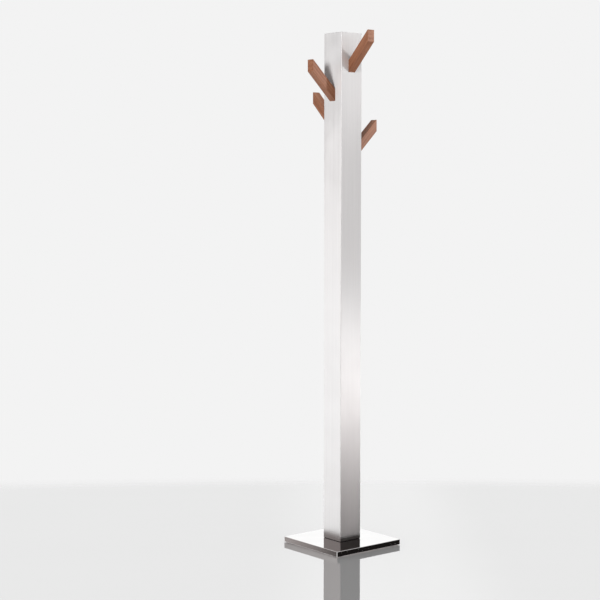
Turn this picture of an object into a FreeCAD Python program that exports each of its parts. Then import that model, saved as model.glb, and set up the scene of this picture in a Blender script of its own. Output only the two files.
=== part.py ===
"""Standing coat rack: a square steel column on a square steel base plate, with four wooden hooks.

Frame: +Z up, origin on the floor under the middle of the base plate. The column's flat faces look
along +X, -Y, -X and +Y; each carries one hook, and each hook sits one step lower than the last.
All lengths are in millimetres.
"""
import FreeCAD, Part
import math
import os

import Sketcher

# Driving dimensions, one spreadsheet cell each.
SIZES = {
    # base
    "PlateSide": 280,
    "PlateThickness": 18,
    "PlateCornerRadius": 2,
    "PlateArris": 0.8,
    "PadThickness": 2,
    "PadDiameter": 30,
    "PadInset": 25,
    # column
    "ColumnTop": 1720,
    "ColumnSide": 90,
    "ColumnWall": 2,
    "ColumnCornerRadius": 4,
    "FootThickness": 12,
    "GasketThickness": 1.5,
    "GasketInset": 3,
    "CapThickness": 3,
    "CapSkirtDepth": 20,
    "CapClearance": 0.2,
    # countersunk screws that hold the column to the plate
    "ScrewSpacing": 50,
    "ScrewDiameter": 8,
    "ScrewLength": 30,
    "ScrewHeadDiameter": 16,
    "ScrewSocketWidth": 5,
    "ScrewSocketDepth": 3,
    "ClearanceHole": 9,
    # wooden hooks: a bar that rises at about 45 degrees, cut upright at both ends
    "HookWidth": 28,
    "HookRootDepth": 40,
    "HookReach": 95,
    "HookRise": 93,
    "HookEdgeRadius": 1,
    "TopHookHeight": 1590,
    "HookStep": 94,
    # what holds each hook, inside the column
    "StudDiameter": 8,
    "StudHeight": 28,
    "StudDepthInWood": 18,
    "StudPastNut": 2,
    "StudPointLength": 4,
    "PinDiameter": 4,
    "PinHeight": 11,
    "PinDepthInWood": 5,
    "BackingWidth": 40,
    "BackingHeight": 60,
    "BackingThickness": 5,
    "WasherDiameter": 16,
    "WasherThickness": 1.6,
    "NutWidth": 13,
    "NutHeight": 6.5,
}

# Levels and lengths worked out from the sheet, as expressions.
PLATE_TOP = "(Sizes.PadThickness + Sizes.PlateThickness)"
COLUMN_FOOT = f"({PLATE_TOP} + Sizes.GasketThickness)"
INNER_SIDE = "(Sizes.ColumnSide - 2 * Sizes.ColumnWall)"
INNER_RADIUS = "(Sizes.ColumnCornerRadius - Sizes.ColumnWall)"
FACE = "(Sizes.ColumnSide / 2)"
INNER_FACE = f"({INNER_SIDE} / 2)"
BACKING_FACE = f"({INNER_FACE} - Sizes.BackingThickness)"
WASHER_FACE = f"({BACKING_FACE} - Sizes.WasherThickness)"
NUT_FACE = f"({WASHER_FACE} - Sizes.NutHeight)"
STUD_END = f"({NUT_FACE} - Sizes.StudPastNut)"
# How far a backing plate reaches below its hook's root, so that it is centred on stud and pin.
BACKING_DROP = "((Sizes.BackingHeight - Sizes.StudHeight - Sizes.PinHeight) / 2)"
# A drill through the column's wall is twice as long as the wall is thick, and sticks out equally.
WALL_DRILL_LENGTH = "(2 * Sizes.ColumnWall)"
WALL_DRILL_START = f"({FACE} - 1.5 * Sizes.ColumnWall)"

# Each hook's face of the column: outward direction, turn about Z from +X, and place in the descent.
HOOKS = {
    "right": ((1, 0), 0, 0),
    "front": ((0, -1), -90, 1),
    "left": ((-1, 0), 180, 2),
    "back": ((0, 1), 90, 3),
}
CORNERS = {"front_left": (-1, -1), "front_right": (1, -1), "back_right": (1, 1), "back_left": (-1, 1)}

ALONG_X = FreeCAD.Rotation(FreeCAD.Vector(0, 1, 0), 90)
UPRIGHT = FreeCAD.Rotation()
TOLERANCE = 1e-4
CORNER_TOLERANCE = 0.01

doc = FreeCAD.newDocument("CoatRack")
sheet = doc.addObject("Spreadsheet::Sheet", "Sizes")
for row, (alias, value) in enumerate(SIZES.items(), start=1):
    sheet.set(f"A{row}", alias)
    sheet.set(f"B{row}", str(value))
    sheet.setAlias(f"B{row}", alias)
doc.recompute()

sub_parts = []


def keep(shape_object, label):
    """Names a finished sub-part, which gets a file of its own."""
    shape_object.Label = label
    sub_parts.append(shape_object)
    return shape_object


def bind(target, **expressions):
    """Binds properties to expressions; a double underscore stands for a dot."""
    for name, expression in expressions.items():
        target.setExpression(name.replace("__", "."), expression)


def place(target, x="0", y="0", z="0", rotation=UPRIGHT):
    """Turns an object, then binds its place to expressions."""
    target.Placement = FreeCAD.Placement(FreeCAD.Vector(), rotation)
    bind(target, Placement__Base__x=x, Placement__Base__y=y, Placement__Base__z=z)


def hook_frame(side):
    """The outward direction, turn and root height of the hook on one side of the column."""
    direction, turn, step = HOOKS[side]
    rotation = FreeCAD.Rotation(FreeCAD.Vector(0, 0, 1), turn)
    return direction, rotation, f"(Sizes.TopHookHeight - {step} * Sizes.HookStep)"


def place_on_side(target, side, distance, height, own_rotation=UPRIGHT):
    """Puts an object at a distance out from the column's axis and a height above the hook's root."""
    (out_x, out_y), rotation, root = hook_frame(side)
    place(target, f"{out_x} * {distance}", f"{out_y} * {distance}", f"{root} + {height}",
          rotation.multiply(own_rotation))


# ---------------------------------------------------------------- PartDesign helpers

def new_body(name):
    return doc.addObject("PartDesign::Body", name)


def new_sketch(body, name, role="XY_Plane"):
    """A sketch attached to one of the body's own origin planes."""
    sketch = body.newObject("Sketcher::SketchObject", name)
    plane = next(item for item in body.Origin.OriginFeatures if item.Role == role)
    sketch.AttachmentSupport = (plane, [""])
    sketch.MapMode = "FlatFace"
    return sketch


def draw_square(sketch, side):
    """A square centred on the sketch's origin, with its side bound to an expression."""
    corners = [FreeCAD.Vector(x, y, 0) for x, y in ((-1, -1), (1, -1), (1, 1), (-1, 1))]
    draw_outline(sketch, corners)
    for line, kind in enumerate(("Horizontal", "Vertical", "Horizontal", "Vertical")):
        sketch.addConstraint(Sketcher.Constraint(kind, line))
    sketch.addConstraint(Sketcher.Constraint("Symmetric", 0, 1, 1, 2, -1, 1))
    sketch.addConstraint(Sketcher.Constraint("Equal", 0, 1))
    add_size(sketch, Sketcher.Constraint("DistanceX", 0, 1, 0, 2, 2.0), "Side", side)


def draw_outline(sketch, corners):
    """Closed straight lines from corner to corner."""
    count = len(corners)
    for index in range(count):
        sketch.addGeometry(Part.LineSegment(corners[index], corners[(index + 1) % count]), False)
    for index in range(count):
        sketch.addConstraint(Sketcher.Constraint("Coincident", index, 2, (index + 1) % count, 1))


def add_size(sketch, constraint, name, expression):
    """Adds a named dimension and binds it to an expression."""
    index = sketch.addConstraint(constraint)
    sketch.renameConstraint(index, name)
    sketch.setExpression(f"Constraints.{name}", expression)


def draw_circle(sketch, index, diameter, x, y):
    """A circle whose diameter and centre are bound to expressions; x or y of None is on the axis."""
    start = FreeCAD.Vector(1 if x else 0, 1 if y else 0, 0)
    if x and x.startswith("-"):
        start.x = -1
    if y and y.startswith("-"):
        start.y = -1
    sketch.addGeometry(Part.Circle(start, FreeCAD.Vector(0, 0, 1), 0.4), False)
    add_size(sketch, Sketcher.Constraint("Diameter", index, 0.8), f"Diameter{index}", diameter)
    for axis, kind, place_on_axis in (("X", "DistanceX", x), ("Y", "DistanceY", y)):
        if place_on_axis:
            value = -1.0 if place_on_axis.startswith("-") else 1.0
            constraint = Sketcher.Constraint(kind, -1, 1, index, 3, value)
            add_size(sketch, constraint, f"Centre{axis}{index}", place_on_axis)
        else:
            on_axis = -2 if axis == "X" else -1
            sketch.addConstraint(Sketcher.Constraint("PointOnObject", index, 3, on_axis))


def pad(body, sketch, length, symmetric=False):
    feature = body.newObject("PartDesign::Pad", sketch.Name + "Pad")
    feature.Profile = sketch
    if symmetric:
        feature.SideType = "Symmetric"
    bind(feature, Length=length)
    doc.recompute()
    return feature


def pocket(body, sketch, depth=None, reverse=False):
    """Cuts a sketch into the body, through all of it or to a depth, and checks that it cut."""
    before = body.Shape.Volume
    feature = body.newObject("PartDesign::Pocket", sketch.Name + "Pocket")
    feature.Profile = sketch
    feature.Reversed = reverse
    if depth is None:
        feature.Type = "ThroughAll"
    else:
        bind(feature, Length=depth)
    doc.recompute()
    if body.Shape.Volume > before - TOLERANCE:
        raise RuntimeError(f"{feature.Name} removed nothing")
    return feature


def edge_names(shape, wanted):
    """The names of the edges that a test picks."""
    return [f"Edge{index}" for index, edge in enumerate(shape.Edges, start=1) if wanted(edge)]


def dress_edges(body, kind, name, size_property, size, wanted):
    """A Fillet or Chamfer on the edges that a test picks."""
    tip = body.Tip
    names = edge_names(tip.Shape, wanted)
    feature = body.newObject(f"PartDesign::{kind}", name)
    feature.Base = (tip, names)
    bind(feature, **{size_property: size})
    doc.recompute()
    return feature


def is_upright(edge):
    ends = edge.Vertexes
    if len(ends) != 2:
        return False
    return abs(ends[0].X - ends[1].X) + abs(ends[0].Y - ends[1].Y) < TOLERANCE


def is_at_level(edge, level):
    box = edge.BoundBox
    return abs(box.ZMin - level) < TOLERANCE and abs(box.ZMax - level) < TOLERANCE


def is_circle(edge):
    return isinstance(edge.Curve, Part.Circle)


# ---------------------------------------------------------------- Part helpers

def cylinder(name, diameter, height):
    solid = doc.addObject("Part::Cylinder", name)
    bind(solid, Radius=f"{diameter} / 2", Height=height)
    return solid


def cone(name, diameter_start, diameter_end, height):
    solid = doc.addObject("Part::Cone", name)
    bind(solid, Radius1=f"{diameter_start} / 2", Radius2=f"{diameter_end} / 2", Height=height)
    return solid


def hexagon(name, width_across_flats, height):
    solid = doc.addObject("Part::Prism", name)
    solid.Polygon = 6
    bind(solid, Circumradius=f"{width_across_flats} / (2 * cos(30 deg))", Height=height)
    return solid


def fuse(name, *shapes):
    solid = doc.addObject("Part::MultiFuse", name)
    solid.Shapes = list(shapes)
    return solid


def cut(name, base, tool):
    solid = doc.addObject("Part::Cut", name)
    solid.Base = base
    solid.Tool = tool
    return solid


def group(name, shapes):
    """Identical pieces that share a node, each still a solid of its own."""
    compound = doc.addObject("Part::Compound", name)
    compound.Links = list(shapes)
    return compound


# ---------------------------------------------------------------- base

def screw_centres():
    """The four base screws' centres, as expressions."""
    for sign_x, sign_y in CORNERS.values():
        yield f"{sign_x} * Sizes.ScrewSpacing / 2", f"{sign_y} * Sizes.ScrewSpacing / 2"


def draw_screw_holes(sketch, diameter):
    for index, (x, y) in enumerate(screw_centres()):
        draw_circle(sketch, index, diameter, x, y)


def make_base_plate():
    """A solid plate with four countersunk holes from below."""
    body = new_body("BasePlate")
    outline = new_sketch(body, "PlateOutline")
    draw_square(outline, "Sizes.PlateSide")
    pad(body, outline, "Sizes.PlateThickness")
    dress_edges(body, "Fillet", "PlateCorners", "Radius", "Sizes.PlateCornerRadius", is_upright)
    top = SIZES["PlateThickness"]
    dress_edges(body, "Chamfer", "PlateArrises", "Size", "Sizes.PlateArris",
                lambda edge: is_at_level(edge, top) or is_at_level(edge, 0))
    holes = new_sketch(body, "PlateHoles")
    draw_screw_holes(holes, "Sizes.ClearanceHole")
    pocket(body, holes, reverse=True)
    dress_edges(body, "Chamfer", "PlateCountersinks", "Size",
                "(Sizes.ScrewHeadDiameter - Sizes.ClearanceHole) / 2",
                lambda edge: is_circle(edge) and is_at_level(edge, 0)
                and abs(edge.Curve.Radius - SIZES["ClearanceHole"] / 2) < TOLERANCE)
    place(body, z="Sizes.PadThickness")
    keep(body, "base_plate")


def make_floor_pads():
    """One round rubber pad under each corner of the plate."""
    offset = "(Sizes.PlateSide / 2 - Sizes.PadInset)"
    for corner, (sign_x, sign_y) in CORNERS.items():
        disc = cylinder("FloorPad_" + corner, "Sizes.PadDiameter", "Sizes.PadThickness")
        place(disc, f"{sign_x} * {offset}", f"{sign_y} * {offset}")
        keep(disc, "floor_pad_" + corner)


def make_base_screws():
    """Four countersunk machine screws, heads down, flush with the underside of the plate."""
    head_height = "((Sizes.ScrewHeadDiameter - Sizes.ScrewDiameter) / 2)"
    screws = []
    for index, (x, y) in enumerate(screw_centres(), start=1):
        shank = cylinder(f"ScrewShank{index}", "Sizes.ScrewDiameter", "Sizes.ScrewLength")
        head = cone(f"ScrewHead{index}", "Sizes.ScrewHeadDiameter", "Sizes.ScrewDiameter", head_height)
        socket = hexagon(f"ScrewSocket{index}", "Sizes.ScrewSocketWidth", "Sizes.ScrewSocketDepth")
        blank = fuse(f"ScrewBlank{index}", shank, head)
        screw = cut(f"Screw{index}", blank, socket)
        place(screw, x, y, "Sizes.PadThickness")
        screws.append(screw)
    keep(group("BaseScrews", screws), "base_screws")


# ---------------------------------------------------------------- column

def make_foot_plate():
    """A steel block welded inside the column's foot, tapped for the base screws."""
    body = new_body("FootPlate")
    outline = new_sketch(body, "FootOutline")
    draw_square(outline, INNER_SIDE)
    pad(body, outline, "Sizes.FootThickness")
    dress_edges(body, "Fillet", "FootCorners", "Radius", INNER_RADIUS, is_upright)
    holes = new_sketch(body, "FootHoles")
    draw_screw_holes(holes, "Sizes.ScrewDiameter")
    pocket(body, holes, reverse=True)
    place(body, z=COLUMN_FOOT)
    keep(body, "foot_plate")


def make_foot_gasket():
    """A thin black rubber sheet between plate and column, set back from the column's faces."""
    body = new_body("FootGasket")
    outline = new_sketch(body, "GasketOutline")
    draw_square(outline, "Sizes.ColumnSide - 2 * Sizes.GasketInset")
    pad(body, outline, "Sizes.GasketThickness")
    holes = new_sketch(body, "GasketHoles")
    draw_screw_holes(holes, "Sizes.ClearanceHole")
    pocket(body, holes, reverse=True)
    place(body, z=PLATE_TOP)
    keep(body, "foot_gasket")


def is_out_by(edge, distance):
    """True for an edge whose first end is that far from the column's axis."""
    end = edge.Vertexes[0]
    return abs(math.hypot(end.X, end.Y) - distance) < CORNER_TOLERANCE


def make_column_tube():
    """A square tube with rounded corners, drilled on each face for a hook's stud and pin."""
    body = new_body("ColumnProfile")
    outline = new_sketch(body, "TubeOutline")
    draw_square(outline, "Sizes.ColumnSide")
    pad(body, outline, f"Sizes.ColumnTop - {COLUMN_FOOT}")
    dress_edges(body, "Fillet", "TubeCorners", "Radius", "Sizes.ColumnCornerRadius", is_upright)
    bore = new_sketch(body, "TubeBore")
    draw_square(bore, INNER_SIDE)
    pocket(body, bore, reverse=True)
    inner_corner = (SIZES["ColumnSide"] / 2 - SIZES["ColumnWall"]) * math.sqrt(2)
    dress_edges(body, "Fillet", "BoreCorners", "Radius", INNER_RADIUS,
                lambda edge: is_upright(edge) and is_out_by(edge, inner_corner))
    place(body, z=COLUMN_FOOT)
    drills = []
    for side in HOOKS:
        for what, diameter in (("Stud", "Sizes.ClearanceHole"), ("Pin", "Sizes.PinDiameter")):
            drill = cylinder(f"{what}Drill_{side}", diameter, WALL_DRILL_LENGTH)
            place_on_side(drill, side, WALL_DRILL_START, f"Sizes.{what}Height", ALONG_X)
            drills.append(drill)
    keep(cut("ColumnTube", body, group("ColumnDrills", drills)), "column_tube")


def make_top_cap():
    """A flush lid with a square skirt that locates it inside the column."""
    lid_side = f"({INNER_SIDE} - 2 * Sizes.CapClearance)"
    body = new_body("TopCap")
    outline = new_sketch(body, "CapOutline")
    draw_square(outline, lid_side)
    pad(body, outline, "Sizes.CapThickness + Sizes.CapSkirtDepth")
    dress_edges(body, "Fillet", "CapCorners", "Radius", INNER_RADIUS, is_upright)
    hollow = new_sketch(body, "CapHollow")
    draw_square(hollow, f"{lid_side} - 2 * Sizes.ColumnWall")
    pocket(body, hollow, "Sizes.CapSkirtDepth", reverse=True)
    place(body, z="Sizes.ColumnTop - Sizes.CapThickness - Sizes.CapSkirtDepth")
    keep(body, "top_cap")


# ---------------------------------------------------------------- hooks and what holds them

def make_hook(side):
    """A slanting wooden bar: an upright root face on the column and an upright face at the tip."""
    body = new_body("Hook_" + side)
    profile = new_sketch(body, f"HookProfile_{side}", "XZ_Plane")
    corners = [FreeCAD.Vector(x, y, 0) for x, y in ((0, 0), (10, 10), (10, 15), (0, 5))]
    draw_outline(profile, corners)
    profile.addConstraint(Sketcher.Constraint("Coincident", 0, 1, -1, 1))
    for line in (1, 3):
        profile.addConstraint(Sketcher.Constraint("Vertical", line))
    profile.addConstraint(Sketcher.Constraint("Parallel", 0, 2))
    add_size(profile, Sketcher.Constraint("DistanceX", 0, 1, 0, 2, 10.0), "Reach", "Sizes.HookReach")
    add_size(profile, Sketcher.Constraint("DistanceY", 0, 1, 0, 2, 10.0), "Rise", "Sizes.HookRise")
    add_size(profile, Sketcher.Constraint("DistanceY", 3, 2, 3, 1, 5.0), "RootDepth",
             "Sizes.HookRootDepth")
    pad(body, profile, "Sizes.HookWidth", symmetric=True)
    dress_edges(body, "Fillet", "HookEdges_" + side, "Radius", "Sizes.HookEdgeRadius",
                lambda edge: edge.BoundBox.XMax > TOLERANCE)
    for what, depth in (("Stud", "Sizes.StudDepthInWood"), ("Pin", "Sizes.PinDepthInWood")):
        hole = new_sketch(body, f"{what}Hole_{side}", "YZ_Plane")
        draw_circle(hole, 0, f"Sizes.{what}Diameter", None, f"Sizes.{what}Height")
        pocket(body, hole, depth, reverse=True)
    place_on_side(body, side, FACE, "0")
    keep(body, "hook_" + side)


def make_backing_plate(side):
    """A steel plate inside the wall that spreads the nut's load; the pin is pressed into it."""
    block = doc.addObject("Part::Box", "BackingBlock_" + side)
    bind(block, Length="Sizes.BackingThickness", Width="Sizes.BackingWidth",
         Height="Sizes.BackingHeight", Placement__Base__y="-Sizes.BackingWidth / 2")
    holes = []
    for what, diameter in (("Stud", "Sizes.ClearanceHole"), ("Pin", "Sizes.PinDiameter")):
        drill = cylinder(f"{what}BackingDrill_{side}", diameter, "Sizes.BackingThickness")
        place(drill, z=f"Sizes.{what}Height + {BACKING_DROP}", rotation=ALONG_X)
        holes.append(drill)
    plate = cut("BackingPlate_" + side, block, group("BackingDrills_" + side, holes))
    place_on_side(plate, side, BACKING_FACE, f"-1 * {BACKING_DROP}")
    keep(plate, "backing_plate_" + side)


def make_studs():
    """Double-ended studs: a pointed wood thread in the hook and a machine thread inside."""
    studs = []
    for side in HOOKS:
        plain_length = f"({FACE} + Sizes.StudDepthInWood - Sizes.StudPointLength - {STUD_END})"
        shank = cylinder("StudShank_" + side, "Sizes.StudDiameter", plain_length)
        point = cone("StudPoint_" + side, "Sizes.StudDiameter", "Sizes.StudDiameter / 2",
                     "Sizes.StudPointLength")
        place(point, z=plain_length)
        stud = fuse("Stud_" + side, shank, point)
        place_on_side(stud, side, STUD_END, "Sizes.StudHeight", ALONG_X)
        studs.append(stud)
    keep(group("HookStuds", studs), "hook_studs")


def make_pins():
    """Plain pins through wall and backing plate that stop the hooks from turning."""
    pins = []
    for side in HOOKS:
        length = "Sizes.BackingThickness + Sizes.ColumnWall + Sizes.PinDepthInWood"
        pin = cylinder("Pin_" + side, "Sizes.PinDiameter", length)
        place_on_side(pin, side, BACKING_FACE, "Sizes.PinHeight", ALONG_X)
        pins.append(pin)
    keep(group("LocatingPins", pins), "locating_pins")


def make_washers():
    rings = []
    for side in HOOKS:
        disc = cylinder("WasherDisc_" + side, "Sizes.WasherDiameter", "Sizes.WasherThickness")
        bore = cylinder("WasherBore_" + side, "Sizes.ClearanceHole", "Sizes.WasherThickness")
        ring = cut("Washer_" + side, disc, bore)
        place_on_side(ring, side, WASHER_FACE, "Sizes.StudHeight", ALONG_X)
        rings.append(ring)
    keep(group("HookWashers", rings), "hook_washers")


def make_nuts():
    nuts = []
    for side in HOOKS:
        blank = hexagon("NutBlank_" + side, "Sizes.NutWidth", "Sizes.NutHeight")
        bore = cylinder("NutBore_" + side, "Sizes.StudDiameter", "Sizes.NutHeight")
        nut = cut("Nut_" + side, blank, bore)
        place_on_side(nut, side, NUT_FACE, "Sizes.StudHeight", ALONG_X)
        nuts.append(nut)
    keep(group("HookNuts", nuts), "hook_nuts")


# ---------------------------------------------------------------- build, check, write

def check_document():
    """Stops if any object failed to recompute or any sub-part has no valid shape."""
    for item in doc.Objects:
        if "Invalid" in item.State or "Error" in item.State:
            raise RuntimeError(f"{item.Name} failed: {item.State}")
    for item in sub_parts:
        shape = item.Shape
        if shape.isNull() or not shape.isValid() or not shape.Solids:
            raise RuntimeError(f"{item.Label} has no valid solid")


def write_parts():
    os.makedirs("parts", exist_ok=True)
    for item in sub_parts:
        item.Shape.exportStep(os.path.join("parts", item.Label + ".step"))
        print(f"{item.Label}: {len(item.Shape.Solids)} solid(s), {item.Shape.Volume / 1000:.2f} cm3")


make_base_plate()
make_floor_pads()
make_base_screws()
make_foot_plate()
make_foot_gasket()
make_column_tube()
make_top_cap()
for hook_side in HOOKS:
    make_hook(hook_side)
    make_backing_plate(hook_side)
make_studs()
make_pins()
make_washers()
make_nuts()
doc.recompute()
check_document()
write_parts()
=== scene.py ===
"""Looks of the standing coat rack: materials, studio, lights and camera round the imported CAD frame."""

import math

import bmesh
import bpy
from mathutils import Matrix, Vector

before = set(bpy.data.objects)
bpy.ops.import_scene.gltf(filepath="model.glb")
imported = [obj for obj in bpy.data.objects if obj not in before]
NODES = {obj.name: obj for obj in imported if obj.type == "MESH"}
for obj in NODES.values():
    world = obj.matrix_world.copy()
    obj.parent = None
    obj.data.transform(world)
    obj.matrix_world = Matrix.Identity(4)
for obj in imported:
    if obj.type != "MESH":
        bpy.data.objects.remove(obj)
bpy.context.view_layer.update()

SCENE = bpy.context.scene
UP = Vector((0, 0, 1))

# The four hooks, each with the level direction in which it points, and how far they all reach and rise.
HOOKS = {
    "hook_right": Vector((1, 0, 0)),
    "hook_front": Vector((0, -1, 0)),
    "hook_left": Vector((-1, 0, 0)),
    "hook_back": Vector((0, 1, 0)),
}
HOOK_REACH = 0.095
HOOK_RISE = 0.093


class Tree:
    """A node tree with short calls for the nodes that the materials share."""

    def __init__(self, tree):
        self.tree = tree
        tree.nodes.clear()

    def add(self, kind, **settings):
        node = self.tree.nodes.new("ShaderNode" + kind)
        for name, value in settings.items():
            setattr(node, name, value)
        return node

    def feed(self, socket, value):
        """Links value to the socket if it is another socket, and else sets it as the socket's number."""
        if isinstance(value, bpy.types.NodeSocket):
            self.tree.links.new(value, socket)
        else:
            socket.default_value = value

    def math(self, operation, first, second=0.0, third=0.0):
        node = self.add("Math", operation=operation)
        for socket, value in zip(node.inputs, (first, second, third)):
            self.feed(socket, value)
        return node.outputs[0]

    def vector(self, operation, first, second=(0.0, 0.0, 0.0)):
        node = self.add("VectorMath", operation=operation)
        self.feed(node.inputs[0], first)
        self.feed(node.inputs[1], second)
        return node.outputs["Value" if operation == "DOT_PRODUCT" else "Vector"]

    def join(self, x, y, z):
        node = self.add("CombineXYZ")
        for socket, value in zip(node.inputs, (x, y, z)):
            self.feed(socket, value)
        return node.outputs[0]

    def noise(self, point, detail=3.0, roughness=0.5, scale=1.0):
        node = self.add("TexNoise")
        self.feed(node.inputs["Vector"], point)
        node.inputs["Scale"].default_value = scale
        node.inputs["Detail"].default_value = detail
        node.inputs["Roughness"].default_value = roughness
        return node.outputs["Fac"]

    def span(self, value, low, high, to_low=0.0, to_high=1.0, smooth=False):
        node = self.add("MapRange")
        if smooth:
            node.interpolation_type = "SMOOTHSTEP"
        for name, number in (
            ("Value", value),
            ("From Min", low),
            ("From Max", high),
            ("To Min", to_low),
            ("To Max", to_high),
        ):
            self.feed(node.inputs[name], number)
        return node.outputs["Result"]

    def ramp(self, value, stops, mode="LINEAR"):
        """A colour ramp with stops of (place, grey or colour)."""
        node = self.add("ValToRGB")
        node.color_ramp.interpolation = mode
        elements = node.color_ramp.elements
        while len(elements) < len(stops):
            elements.new(1.0)
        for element, (place, colour) in zip(elements, stops):
            element.position = place
            element.color = as_colour(colour)
        self.feed(node.inputs["Fac"], value)
        return node.outputs["Color"]

    def mix(self, share, first, second, blend="MIX"):
        node = self.add("Mix", data_type="RGBA", blend_type=blend)
        self.feed(node.inputs["Factor"], share)
        for socket, value in zip(node.inputs[6:8], (first, second)):
            self.feed(socket, value if isinstance(value, bpy.types.NodeSocket) else as_colour(value))
        return node.outputs[2]

    def bump(self, height, distance, strength=1.0, normal=None):
        node = self.add("Bump")
        node.inputs["Strength"].default_value = strength
        node.inputs["Distance"].default_value = distance
        self.feed(node.inputs["Height"], height)
        if normal is not None:
            self.feed(node.inputs["Normal"], normal)
        return node.outputs["Normal"]

    def place(self):
        """The point in metres, in the frame that all pieces share."""
        return self.add("TexCoord").outputs["Object"]

    def normal(self):
        return self.add("NewGeometry").outputs["Normal"]

    def crisp_normal(self):
        """The normal leaned to its nearest axis, so that a small round corner shines like a tight one."""
        normal = self.normal()
        cube = self.vector("MULTIPLY", self.vector("MULTIPLY", normal, normal), normal)
        sixth_power = self.vector("MULTIPLY", cube, cube)
        return self.vector("NORMALIZE", self.vector("MULTIPLY", sixth_power, normal))

    def stretched(self, axes, scales):
        """The point given by three coordinates, each multiplied by its scale."""
        return self.join(*(self.math("MULTIPLY", axis, scale) for axis, scale in zip(axes, scales)))

    def edges(self, radius):
        """1 within that radius of an edge and 0 on a flat face."""
        bevel = self.add("Bevel", samples=4)
        bevel.inputs["Radius"].default_value = radius
        flatness = self.vector("DOT_PRODUCT", bevel.outputs["Normal"], self.normal())
        return self.span(flatness, 0.995, 0.90)


def as_colour(value):
    if isinstance(value, (int, float)):
        return (value, value, value, 1.0)
    return (*value, 1.0)


def new_material(name, metallic=0.0):
    material = bpy.data.materials.new(name)
    material.use_nodes = True
    tree = Tree(material.node_tree)
    shader = tree.add("BsdfPrincipled")
    output = tree.add("OutputMaterial")
    tree.feed(output.inputs["Surface"], shader.outputs["BSDF"])
    shader.inputs["Metallic"].default_value = metallic
    return material, tree, shader


def brushed_steel(name, along, spread_axis):
    """Satin steel, brushed in the direction along. Its gloss spreads across the brush marks."""
    material, tree, shader = new_material(name, metallic=1.0)
    point = tree.place()
    fine_scale = Vector((1500, 1500, 1500)) - 1470 * Vector(along)
    broad_scale = Vector((190, 190, 190)) - 187 * Vector(along)
    fine = tree.noise(tree.vector("MULTIPLY", point, fine_scale), detail=2.0, roughness=0.6)
    broad = tree.noise(tree.vector("MULTIPLY", point, broad_scale), detail=3.0, roughness=0.6)
    smudge = tree.noise(point, detail=4.0, roughness=0.6, scale=9.0)
    streaks = tree.math("MULTIPLY_ADD", broad, 0.6, tree.math("MULTIPLY", fine, 0.4))
    steel = tree.ramp(streaks, [(0.30, (0.810, 0.803, 0.803)), (0.70, (0.875, 0.868, 0.868))])
    edge = tree.edges(0.0015)
    tree.feed(shader.inputs["Base Color"], tree.mix(edge, steel, (0.86, 0.85, 0.85)))
    rough = tree.span(streaks, 0.3, 0.7, 0.36, 0.40)
    rough = tree.math("ADD", rough, tree.span(smudge, 0.35, 0.65, -0.015, 0.015))
    rough = tree.math("MULTIPLY_ADD", edge, -0.12, rough)
    tree.feed(shader.inputs["Roughness"], rough)
    shader.inputs["Anisotropic"].default_value = 0.97
    crisp = tree.crisp_normal()
    tangent = tree.vector("CROSS_PRODUCT", spread_axis, crisp)
    tree.feed(shader.inputs["Tangent"], tree.vector("NORMALIZE", tangent))
    tree.feed(shader.inputs["Normal"], tree.bump(streaks, 0.00002, 0.22, crisp))
    return material


def polished_steel(name):
    """Mirror-polished steel with faint wipe marks, hairline scratches and a plain ground underside."""
    material, tree, shader = new_material(name, metallic=1.0)
    point = tree.place()
    smudge = tree.noise(point, detail=5.0, roughness=0.62, scale=14.0)
    wipes = tree.noise(tree.vector("MULTIPLY", point, (30, 320, 60)), detail=2.0)
    hairlines = tree.noise(tree.vector("MULTIPLY", point, (900, 35, 400)), detail=1.0)
    hairline = tree.span(hairlines, 0.66, 0.74)
    steel = tree.ramp(smudge, [(0.30, (0.90, 0.895, 0.89)), (0.70, (0.95, 0.945, 0.94))])
    tree.feed(shader.inputs["Base Color"], steel)
    rough = tree.span(smudge, 0.35, 0.70, 0.025, 0.06)
    rough = tree.math("ADD", rough, tree.span(wipes, 0.45, 0.75, 0.0, 0.02))
    rough = tree.math("MULTIPLY_ADD", hairline, 0.05, rough)
    down = tree.span(tree.vector("DOT_PRODUCT", tree.normal(), (0, 0, -1)), 0.5, 0.9)
    rough = tree.math("MULTIPLY_ADD", down, 0.35, rough)
    tree.feed(shader.inputs["Roughness"], rough)
    tree.feed(shader.inputs["Normal"], tree.bump(wipes, 0.000004, 0.3))
    return material


def plated_steel(name):
    """Zinc-plated steel for the hidden fixings."""
    material, tree, shader = new_material(name, metallic=1.0)
    point = tree.place()
    grain = tree.noise(point, detail=4.0, roughness=0.6, scale=420.0)
    cloud = tree.noise(point, detail=3.0, roughness=0.5, scale=60.0)
    steel = tree.ramp(cloud, [(0.32, (0.56, 0.57, 0.59)), (0.68, (0.72, 0.73, 0.74))])
    edge = tree.edges(0.0006)
    tree.feed(shader.inputs["Base Color"], tree.mix(edge, steel, (0.80, 0.80, 0.81)))
    tree.feed(shader.inputs["Roughness"], tree.span(grain, 0.3, 0.7, 0.24, 0.42))
    tree.feed(shader.inputs["Normal"], tree.bump(grain, 0.00003, 0.4))
    return material


def rubber(name):
    """Black rubber with a fine moulded grain and a little dust on its edges."""
    material, tree, shader = new_material(name)
    point = tree.place()
    grain = tree.noise(point, detail=3.0, roughness=0.6, scale=900.0)
    dust = tree.noise(point, detail=4.0, roughness=0.6, scale=120.0)
    black = tree.ramp(dust, [(0.40, (0.012, 0.012, 0.013)), (0.72, (0.045, 0.044, 0.043))])
    edge = tree.edges(0.0008)
    tree.feed(shader.inputs["Base Color"], tree.mix(edge, black, (0.05, 0.05, 0.05)))
    tree.feed(shader.inputs["Roughness"], tree.span(grain, 0.3, 0.7, 0.62, 0.85))
    tree.feed(shader.inputs["Normal"], tree.bump(grain, 0.00006, 0.5))
    return material


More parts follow.
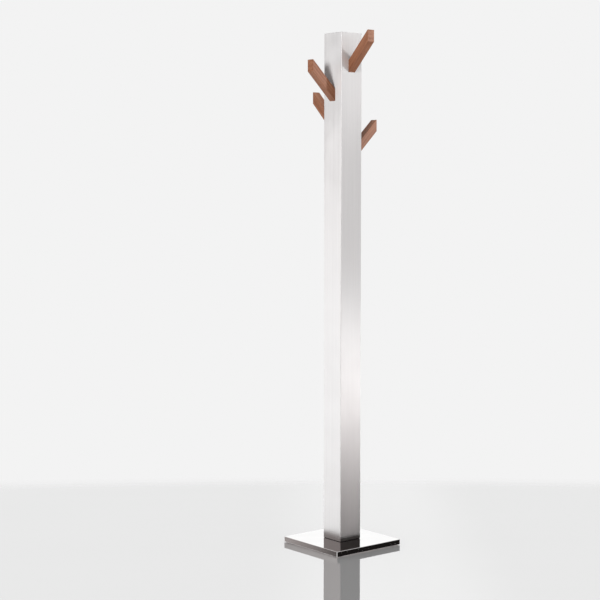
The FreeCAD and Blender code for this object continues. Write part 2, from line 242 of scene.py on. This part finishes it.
def hook_wood(name, out):
    """Oiled wood whose grain runs up the hook that points out, with end grain on the sawn tip and a
    highlight painted along its edges.
    """
    material, tree, shader = new_material(name)
    along = (out * HOOK_REACH + UP * HOOK_RISE).normalized()
    side = out.cross(UP).normalized()
    over = along.cross(side).normalized()
    point = tree.place()
    u = tree.vector("DOT_PRODUCT", point, along)
    v = tree.vector("DOT_PRODUCT", point, side)
    w = tree.vector("DOT_PRODUCT", point, over)
    drift = tree.noise(tree.join(tree.math("MULTIPLY", u, 9), v, w), detail=2.0)
    across = tree.math("MULTIPLY_ADD", drift, 0.016, w)
    growth = tree.noise(tree.stretched((u, v, across), (5, 60, 210)), detail=3.0, roughness=0.55)
    fibre = tree.noise(tree.stretched((u, v, across), (26, 700, 700)), detail=3.0, roughness=0.65)
    pore = tree.noise(tree.stretched((u, v, w), (110, 1900, 1900)), detail=1.0)
    long_grain = tree.ramp(
        growth,
        [
            (0.28, (0.255, 0.093, 0.046)),
            (0.46, (0.335, 0.136, 0.071)),
            (0.60, (0.400, 0.172, 0.094)),
            (0.76, (0.470, 0.219, 0.127)),
        ],
    )
    streak = tree.span(fibre, 0.32, 0.68, 0.84, 1.08)
    long_grain = tree.mix(1.0, long_grain, tree.join(streak, streak, streak), "MULTIPLY")
    pores = tree.span(pore, 0.64, 0.72)
    long_grain = tree.mix(tree.math("MULTIPLY", pores, 0.55), long_grain, (0.150, 0.055, 0.030))
    rings = tree.math("SINE", tree.math("MULTIPLY", tree.math("MULTIPLY_ADD", drift, 0.02, across), 2400))
    speckle = tree.noise(tree.join(v, w, u), detail=3.0, roughness=0.7, scale=1500.0)
    end_grain = tree.ramp(
        tree.math("MULTIPLY_ADD", rings, 0.12, speckle),
        [(0.30, (0.200, 0.082, 0.045)), (0.70, (0.330, 0.150, 0.088))],
    )
    on_tip = tree.span(tree.vector("DOT_PRODUCT", tree.normal(), along), 0.80, 0.95)
    wood = tree.mix(on_tip, long_grain, end_grain)
    # Lighter wood within 2.2 mm of the edges: a painted highlight along the edges.
    edge = tree.edges(0.0022)
    wood = tree.mix(tree.math("MULTIPLY", edge, 0.35), wood, (0.500, 0.245, 0.150))
    tree.feed(shader.inputs["Base Color"], wood)
    tree.feed(shader.inputs["Roughness"], tree.span(fibre, 0.3, 0.7, 0.46, 0.62))
    shader.inputs["Specular IOR Level"].default_value = 0.36
    height = tree.math("MULTIPLY_ADD", pores, -0.8, fibre)
    tree.feed(shader.inputs["Normal"], tree.bump(height, 0.00012, 0.5))
    return material


def floor_material(fade_from, fade_to):
    """A pale polished floor. It fades into the background between two shares of the way to its rim.

    It is clear from below, so that the base's underside can be looked at.
    """
    material = bpy.data.materials.new("studio_floor")
    material.use_nodes = True
    tree = Tree(material.node_tree)
    point = tree.place()
    matt = tree.add("BsdfDiffuse")
    gloss = tree.add("BsdfGlossy")
    clear = tree.add("BsdfTransparent")
    tone = tree.noise(point, detail=2.0, scale=3.0)
    pale = tree.ramp(tone, [(0.3, FLOOR_TONE - 0.01), (0.7, FLOOR_TONE + 0.01)])
    # A brighter band right of the object: a pool of light painted into the floor's colour.
    across = tree.vector("DOT_PRODUCT", point, (FLOOR_WIDTH, 0, 0))
    off_light_pool = tree.math("ABSOLUTE", tree.math("SUBTRACT", across, PAINTED_LIGHT_POOL_PLACE))
    painted_light_pool = tree.span(off_light_pool, *PAINTED_LIGHT_POOL_REACH, 1.0, 0.0, smooth=True)
    tree.feed(matt.inputs["Color"], tree.mix(painted_light_pool, pale, PAINTED_LIGHT_POOL_TONE))
    gloss.inputs["Color"].default_value = as_colour(0.99)
    # At roughness 0 the world can tell the floor's mirror rays from the steel's.
    gloss.inputs["Roughness"].default_value = 0.0
    polished = tree.add("MixShader")
    polished.inputs["Fac"].default_value = FLOOR_GLOSS
    tree.feed(polished.inputs[1], matt.outputs[0])
    tree.feed(polished.inputs[2], gloss.outputs[0])
    away = tree.add("VectorMath", operation="LENGTH")
    tree.feed(away.inputs[0], tree.vector("MULTIPLY", point, (1, 1, 0)))
    fade = tree.span(away.outputs["Value"], fade_from, fade_to, smooth=True)
    fade = tree.math("MAXIMUM", fade, tree.add("NewGeometry").outputs["Backfacing"])
    whole = tree.add("MixShader")
    tree.feed(whole.inputs["Fac"], fade)
    tree.feed(whole.inputs[1], polished.outputs[0])
    tree.feed(whole.inputs[2], clear.outputs[0])
    tree.feed(tree.add("OutputMaterial").inputs["Surface"], whole.outputs[0])
    return material


# Camera. It stands round the column at an azimuth and looks along a heading. Angles are in degrees,
# lengths in metres and the lens in millimetres.
CAMERA_AZIMUTH = 49.37
CAMERA_DISTANCE = 4.895
CAMERA_HEIGHT = 1.199
CAMERA_HEADING = 51.04
CAMERA_PITCH = 4.28
CAMERA_LENS = 87.42

# What the camera sees behind the object, and what lights matt surfaces from all around.
BACKGROUND = 0.896
AMBIENT = 0.60

# What gloss sees: tones by elevation in degrees, for each part of the horizon and for the rest of it.
REST_TONES = [(-90, 0.60), (-8, 0.45), (8, 0.45), (90, 0.90)]
BACKDROP_TONES = [(-90, 0.85), (-6, 0.95), (4, 1.04), (90, 1.04)]
RIGHT_BACK_TONES = [
    (-90, 0.60),
    (-30, 0.30),
    (-20, 0.02),
    (-10.3, 0.02),
    (-9, (1.95, 1.74, 1.70)),
    (-7, (3.06, 3.10, 3.11)),
    (-4, 0.05),
    (0, 0.92),
    (5, 0.12),
    (10, 1.05),
    (16, 0.50),
    (90, 0.90),
]
LEFT_FRONT_TONES = [
    (-90, 0.90),
    (-15, 1.20),
    (-11, 1.32),
    (-7, 1.42),
    (-3, 1.38),
    (1, 0.30),
    (5, 0.02),
    (12, 0.02),
    (19, 0.55),
    (90, 0.90),
]

# The parts of the horizon: azimuth, how far from it the part ends, and how far it is full.
BACKDROP = (231, 40, 22)
RIGHT_BACK = (131, 78, 52)
LEFT_FRONT = (-49, 78, 52)

# Two dark cards low down, which the base's polished sides mirror. They begin below CARD_TOP degrees and are
# full below CARD_FULL. The left one darkens across its width, by the sine of the angle from its middle.
LEFT_CARD = (-49, 9, 7)
RIGHT_CARD = (131, 9, 7)
CARD_TOP = -12.4
CARD_FULL = -12.9
LEFT_CARD_TONES = (0.32, 0.04)
LEFT_CARD_SPAN = (-0.045, -0.002)
RIGHT_CARD_TONE = 0.008

# What gloss sees when it is itself seen in gloss.
DEEP_REST_TONE = 0.20
DEEP_LEFT_FRONT_TONE = 0.25
DEEP_RIGHT_BACK_TONE = 0.01

# Panels of light: name, azimuth, height, width, tallness and power in watts. All stand at the same distance.
LIGHT_DISTANCE = 4.0
STEEL_LIGHTS = [
    ("front_gloss_1", 19.0, 1.4, 0.90, 0.9, 28.0),
    ("front_gloss_2", 19.0, 2.2, 0.90, 0.9, 38.0),
    ("key_gloss", 141.3, 2.0, 0.30, 0.8, 6.0),
]
WOOD_KEY = ("key_light", 141.3, 1.75, 0.30, 0.9, 78.0)
WOOD_LIGHTS = [
    ("front_light_1", 22.0, 1.4, 1.20, 0.9, 18.0),
    ("front_light_2", 22.0, 2.3, 1.20, 0.9, 48.0),
]

# The floor: its half sizes across and along the camera's heading, how far along it starts to fade, its tone,
# how much of it is mirror, and the tone that the mirror sees.
FLOOR_WIDTH = 4.0
FLOOR_DEPTH = 1.18
FLOOR_FADE = 0.93
FLOOR_TONE = 0.775
FLOOR_GLOSS = 0.60
FLOOR_SEES = 1.06
# A pool of light painted into the floor's colour: how far right of the object it lies, where its fading
# starts and stops, its tone.
PAINTED_LIGHT_POOL_PLACE = 0.13
PAINTED_LIGHT_POOL_REACH = (0.12, 0.44)
PAINTED_LIGHT_POOL_TONE = 0.98


def level(azimuth):
    """The level direction to a place at that azimuth. 0 is in front of the object and 90 on its right."""
    angle = math.radians(azimuth)
    return Vector((math.sin(angle), -math.cos(angle), 0.0))


def build_camera():
    """The camera at the photograph's viewing angle."""
    data = bpy.data.cameras.new("camera")
    data.lens = CAMERA_LENS
    data.sensor_width = 36.0
    data.clip_start = 0.1
    data.clip_end = 100.0
    camera = bpy.data.objects.new("camera", data)
    SCENE.collection.objects.link(camera)
    camera.location = level(CAMERA_AZIMUTH) * CAMERA_DISTANCE + UP * CAMERA_HEIGHT
    pitch = math.radians(CAMERA_PITCH)
    gaze = -level(CAMERA_HEADING) * math.cos(pitch) - UP * math.sin(pitch)
    camera.rotation_euler = gaze.to_track_quat("-Z", "Y").to_euler()
    SCENE.camera = camera


def build_floor():
    """The studio floor, a long oval that lies square to the camera's heading."""
    mesh = bpy.data.meshes.new("studio_floor")
    grid = bmesh.new()
    bmesh.ops.create_circle(grid, cap_ends=True, radius=1.0, segments=96)
    grid.to_mesh(mesh)
    grid.free()
    floor = bpy.data.objects.new("studio_floor", mesh)
    SCENE.collection.objects.link(floor)
    floor.scale = (FLOOR_WIDTH, FLOOR_DEPTH, 1.0)
    floor.rotation_euler = (0.0, 0.0, math.radians(CAMERA_HEADING))
    floor.visible_glossy = False
    mesh.materials.append(floor_material(FLOOR_FADE / FLOOR_DEPTH, 1.0))


def add_area_light(name, azimuth, height, width, tall, power):
    """A panel of light that faces the object's middle line and stays out of the camera's view."""
    data = bpy.data.lights.new(name, "AREA")
    data.shape = "RECTANGLE"
    data.size = width
    data.size_y = tall
    data.energy = power
    light = bpy.data.objects.new(name, data)
    SCENE.collection.objects.link(light)
    light.location = level(azimuth) * LIGHT_DISTANCE + UP * height
    light.rotation_euler = (-level(azimuth)).to_track_quat("-Z", "Y").to_euler()
    light.visible_camera = False
    return light


def shine_once(data):
    """Keeps the light out of gloss that is itself seen in gloss."""
    data.use_nodes = True
    tree = Tree(data.node_tree)
    path = tree.add("LightPath")
    emission = tree.add("Emission")
    tree.feed(emission.inputs["Strength"], tree.span(path.outputs["Ray Depth"], 1.2, 1.8, 1.0, 0.0))
    tree.feed(tree.add("OutputLight").inputs["Surface"], emission.outputs[0])


def light_only(light, collection):
    """Keeps the light to the nodes in the collection."""
    light.light_linking.receiver_collection = collection


def collect(name, node_names):
    collection = bpy.data.collections.new(name)
    for node_name in node_names:
        collection.objects.link(NODES[node_name])
    return collection


def build_lights():
    """Soft panels: some only for the gloss of the brushed steel, and some only for the wood."""
    brushed = collect("brushed", ["column_tube", "top_cap"])
    for place in STEEL_LIGHTS:
        light = add_area_light(*place)
        light.visible_diffuse = False
        light_only(light, brushed)
        shine_once(light.data)
    hooks = collect("hooks", HOOKS)
    light_only(add_area_light(*WOOD_KEY), hooks)
    for place in WOOD_LIGHTS:
        light = add_area_light(*place)
        light.visible_glossy = False
        light_only(light, hooks)


def warm(tone):
    """A grey of that tone, a little warmer the darker it is."""
    dark = max(0.0, 1.0 - tone)
    return (tone * (1 + 0.12 * dark), tone * (1 - 0.05 * dark), tone * (1 - 0.08 * dark))


def height_place(elevation):
    """An elevation in degrees, as a place on a ramp that runs from straight down to straight up."""
    return 0.5 + 0.5 * math.sin(math.radians(elevation))


def height_stops(stops):
    """Ramp stops for tones by elevation. A tone is a grey to be warmed, or a colour."""
    return [
        (height_place(elevation), tone if isinstance(tone, tuple) else warm(tone))
        for elevation, tone in stops
    ]


def build_world():
    """A pale studio, with its own tones for the camera, for matt surfaces and for gloss."""
    world = bpy.data.worlds.new("studio")
    SCENE.world = world
    world.use_nodes = True
    # Without this, light for matt surfaces would be sampled from the tones for gloss.
    world.cycles.sampling_method = "NONE"
    tree = Tree(world.node_tree)
    ray = tree.add("TexCoord").outputs["Generated"]
    rise = tree.span(tree.vector("DOT_PRODUCT", ray, UP), -1.0, 1.0)
    level_ray = tree.vector("NORMALIZE", tree.vector("MULTIPLY", ray, (1, 1, 0)))

    def toward(part):
        """1 where the ray points at that part of the horizon, fading to 0 at its ends."""
        azimuth, end, full = part
        close = tree.vector("DOT_PRODUCT", level_ray, level(azimuth))
        return tree.span(close, math.cos(math.radians(end)), math.cos(math.radians(full)), smooth=True)

    def with_tones(seen, part, stops):
        return tree.mix(toward(part), seen, tree.ramp(rise, height_stops(stops)))

    seen = tree.ramp(rise, height_stops(REST_TONES))
    seen = with_tones(seen, BACKDROP, BACKDROP_TONES)
    seen = with_tones(seen, RIGHT_BACK, RIGHT_BACK_TONES)
    seen = with_tones(seen, LEFT_FRONT, LEFT_FRONT_TONES)

    low = tree.span(rise, height_place(CARD_TOP), height_place(CARD_FULL))
    turn = tree.vector("DOT_PRODUCT", level_ray, level(LEFT_CARD[0] + 90))
    left_card = tree.ramp(tree.span(turn, *LEFT_CARD_SPAN), list(enumerate(map(warm, LEFT_CARD_TONES))))
    seen = tree.mix(tree.math("MULTIPLY", low, toward(LEFT_CARD)), seen, left_card)
    seen = tree.mix(tree.math("MULTIPLY", low, toward(RIGHT_CARD)), seen, warm(RIGHT_CARD_TONE))

    deep = tree.mix(toward(LEFT_FRONT), warm(DEEP_REST_TONE), warm(DEEP_LEFT_FRONT_TONE))
    deep = tree.mix(toward(RIGHT_BACK), deep, warm(DEEP_RIGHT_BACK_TONE))
    path = tree.add("LightPath")
    seen = tree.mix(tree.span(path.outputs["Ray Depth"], 2.2, 2.8), seen, deep)
    seen = tree.mix(path.outputs["Is Singular Ray"], seen, FLOOR_SEES)
    lit = tree.mix(path.outputs["Is Diffuse Ray"], seen, AMBIENT)
    shown = tree.mix(path.outputs["Is Camera Ray"], lit, BACKGROUND)
    background = tree.add("Background")
    tree.feed(background.inputs["Color"], shown)
    tree.feed(tree.add("OutputWorld").inputs["Surface"], background.outputs[0])


def set_material(node, material):
    for slot in NODES[node].material_slots:
        slot.material = material


def dress():
    """Gives every CAD node its material."""
    set_material("column_tube", brushed_steel("column_satin_steel", (0, 0, 1), (0, 0, 1)))
    set_material("top_cap", brushed_steel("cap_satin_steel", (1, 0, 0), (0.99, 0.12, 0.06)))
    set_material("base_plate", polished_steel("base_polished_steel"))
    for name, out in HOOKS.items():
        set_material(name, hook_wood(name + "_wood", out))
    black = rubber("black_rubber_grained")
    plated = plated_steel("plated_steel_inner")
    for name, node in NODES.items():
        if name.startswith("floor_pad") or name == "foot_gasket":
            set_material(name, black)
        elif name not in HOOKS and name not in ("column_tube", "top_cap", "base_plate"):
            set_material(name, plated)


dress()
build_floor()
build_world()
build_lights()
build_camera()
SCENE.view_settings.view_transform = "Standard"
SCENE.view_settings.look = "None"
